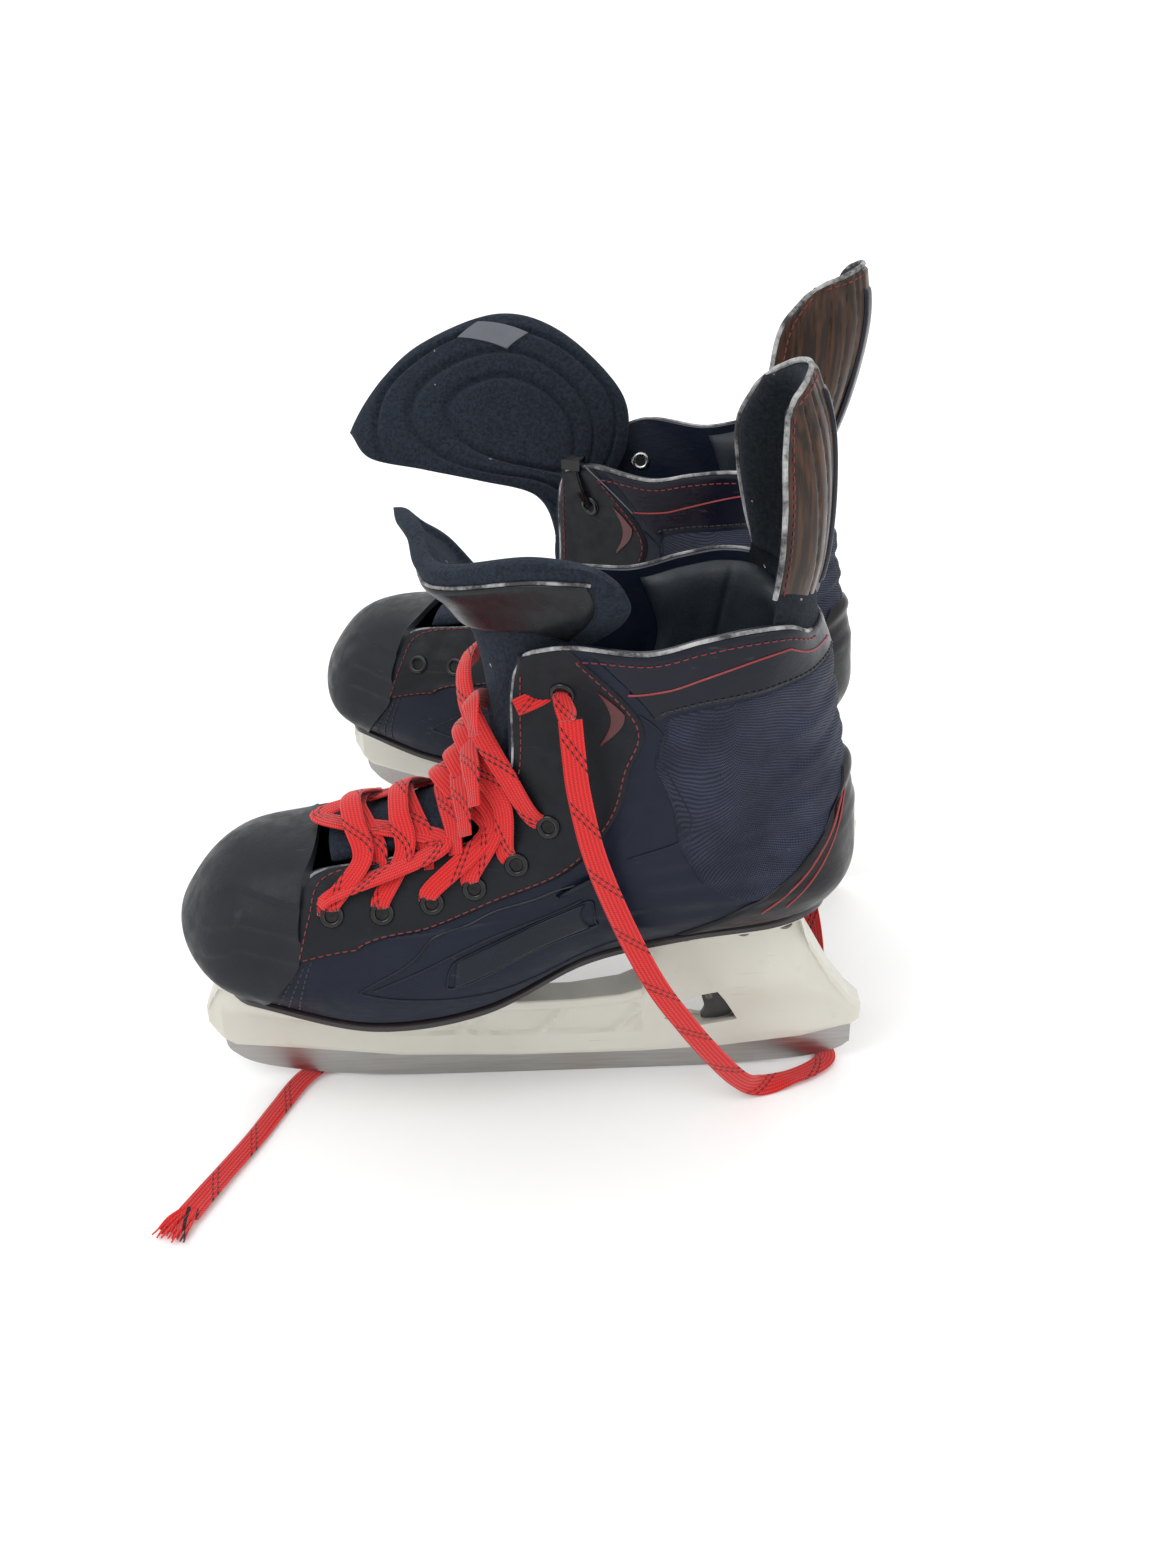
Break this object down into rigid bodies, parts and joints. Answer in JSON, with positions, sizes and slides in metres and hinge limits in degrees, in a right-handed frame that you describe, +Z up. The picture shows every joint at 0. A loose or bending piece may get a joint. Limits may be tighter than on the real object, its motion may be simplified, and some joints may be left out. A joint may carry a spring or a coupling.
{
  "type": "pair of ice hockey skates",
  "caption": "Pair of ice hockey skates: stiff laced boots with hinged tongues and tendon guards on moulded blade holders with quick-release steel runners.",
  "frame": {"origin": "middle of the outline of both skates, free lace ends left out, at the height of the ice", "axes": "+Z up; the left skate points its toe to -X with its outer side to -Y; the right skate stands behind it, on the +Y side, turned 23.3 degrees"},
  "size_m": [0.3166, 0.3768, 0.3163],
  "materials": {
    "toe_plastic": "semi-matt, scuffed",
    "quarter": "navy-black coated fabric shell",
    "facing": "black synthetic leather with red stitching",
    "counter": "black film with rust-red streaks",
    "liner": "black microfibre",
    "sole": "black composite",
    "tongue_felt": "navy-black felt",
    "tongue_shell": "dark grey, glossy",
    "tendon_guard": "dark brown tinted",
    "holder": "off-white, slightly translucent",
    "rivets": "dull steel",
    "steel": "ground stainless steel",
    "trigger": "dark grey",
    "lace": "red flat knitted, waxed, black tracer"
  },
  "bodies": {
    "left_boot": {"left_toe_cap": "toe_plastic", "left_quarter_lateral": "quarter", "left_quarter_medial": "quarter", "left_facing_lateral": "facing", "left_facing_medial": "facing", "left_heel_counter": "counter", "left_collar_liner": "liner", "left_footbed": "liner", "left_outsole": "sole", "left_tongue_base": "tongue_felt", "left_holder": "holder", "left_front_rivets": "rivets", "left_rear_rivets": "rivets", "left_runner": "steel", "left_trigger_pin": "rivets", "left_trigger_spring": "rivets", "left_lace_crossing": "lace", "left_lace_tail_outer": "lace", "left_lace_tail_inner": "lace"},
    "left_release": {"left_trigger": "trigger"},
    "left_tongue": {"left_tongue_upper": "tongue_felt", "left_tongue_shell": "tongue_shell"},
    "left_guard": {"left_tendon_guard": "tendon_guard"},
    "right_boot": {"right_toe_cap": "toe_plastic", "right_quarter_lateral": "quarter", "right_quarter_medial": "quarter", "right_facing_lateral": "facing", "right_facing_medial": "facing", "right_heel_counter": "counter", "right_collar_liner": "liner", "right_footbed": "liner", "right_outsole": "sole", "right_tongue_base": "tongue_felt", "right_holder": "holder", "right_front_rivets": "rivets", "right_rear_rivets": "rivets", "right_trigger_pin": "rivets", "right_trigger_spring": "rivets"},
    "right_steel": {"right_runner": "steel"},
    "right_release": {"right_trigger": "trigger"},
    "right_tongue": {"right_tongue_upper": "tongue_felt", "right_tongue_shell": "tongue_shell"},
    "right_guard": {"right_tendon_guard": "tendon_guard"}
  },
  "joints": [
    {"name": "right_skate_lift", "type": "slide", "parent": "left_boot", "child": "right_boot", "axis": [0, 0, 1], "range_m": [0, 0.33]},
    {"name": "right_runner_release", "type": "hinge", "parent": "right_boot", "child": "right_steel", "pos_m": [-0.09672, 0.13653, 0.027], "axis": [0.3955, 0.9184, 0], "range_deg": [0, 6]},
    {"name": "left_trigger_pull", "type": "hinge", "parent": "left_boot", "child": "left_release", "pos_m": [0.06521, -0.12007, 0.0425], "axis": [0, -1, 0], "range_deg": [0, 20], "stiffness_Nm_per_rad": 0.05, "springref_deg": -11.46},
    {"name": "left_tongue_flex", "type": "hinge", "parent": "left_boot", "child": "left_tongue", "pos_m": [-0.01779, -0.12007, 0.158], "axis": [0, 1, 0], "range_deg": [0, 10]},
    {"name": "left_tendon_flex", "type": "hinge", "parent": "left_boot", "child": "left_guard", "pos_m": [0.10321, -0.12007, 0.222], "axis": [0, 1, 0], "range_deg": [-3, 28], "stiffness_Nm_per_rad": 0.6},
    {"name": "right_trigger_pull", "type": "hinge", "parent": "right_boot", "child": "right_release", "pos_m": [0.09477, 0.05406, 0.0425], "axis": [-0.3955, -0.9184, 0], "range_deg": [0, 20], "stiffness_Nm_per_rad": 0.05, "springref_deg": -11.46},
    {"name": "right_tongue_flex", "type": "hinge", "parent": "right_boot", "child": "right_tongue", "pos_m": [0.01854, 0.08689, 0.158], "axis": [0.3955, 0.9184, 0], "range_deg": [-3, 25]},
    {"name": "right_tendon_flex", "type": "hinge", "parent": "right_boot", "child": "right_guard", "pos_m": [0.12967, 0.03903, 0.222], "axis": [0.3955, 0.9184, 0], "range_deg": [-14, 14], "stiffness_Nm_per_rad": 0.6}
  ]
}
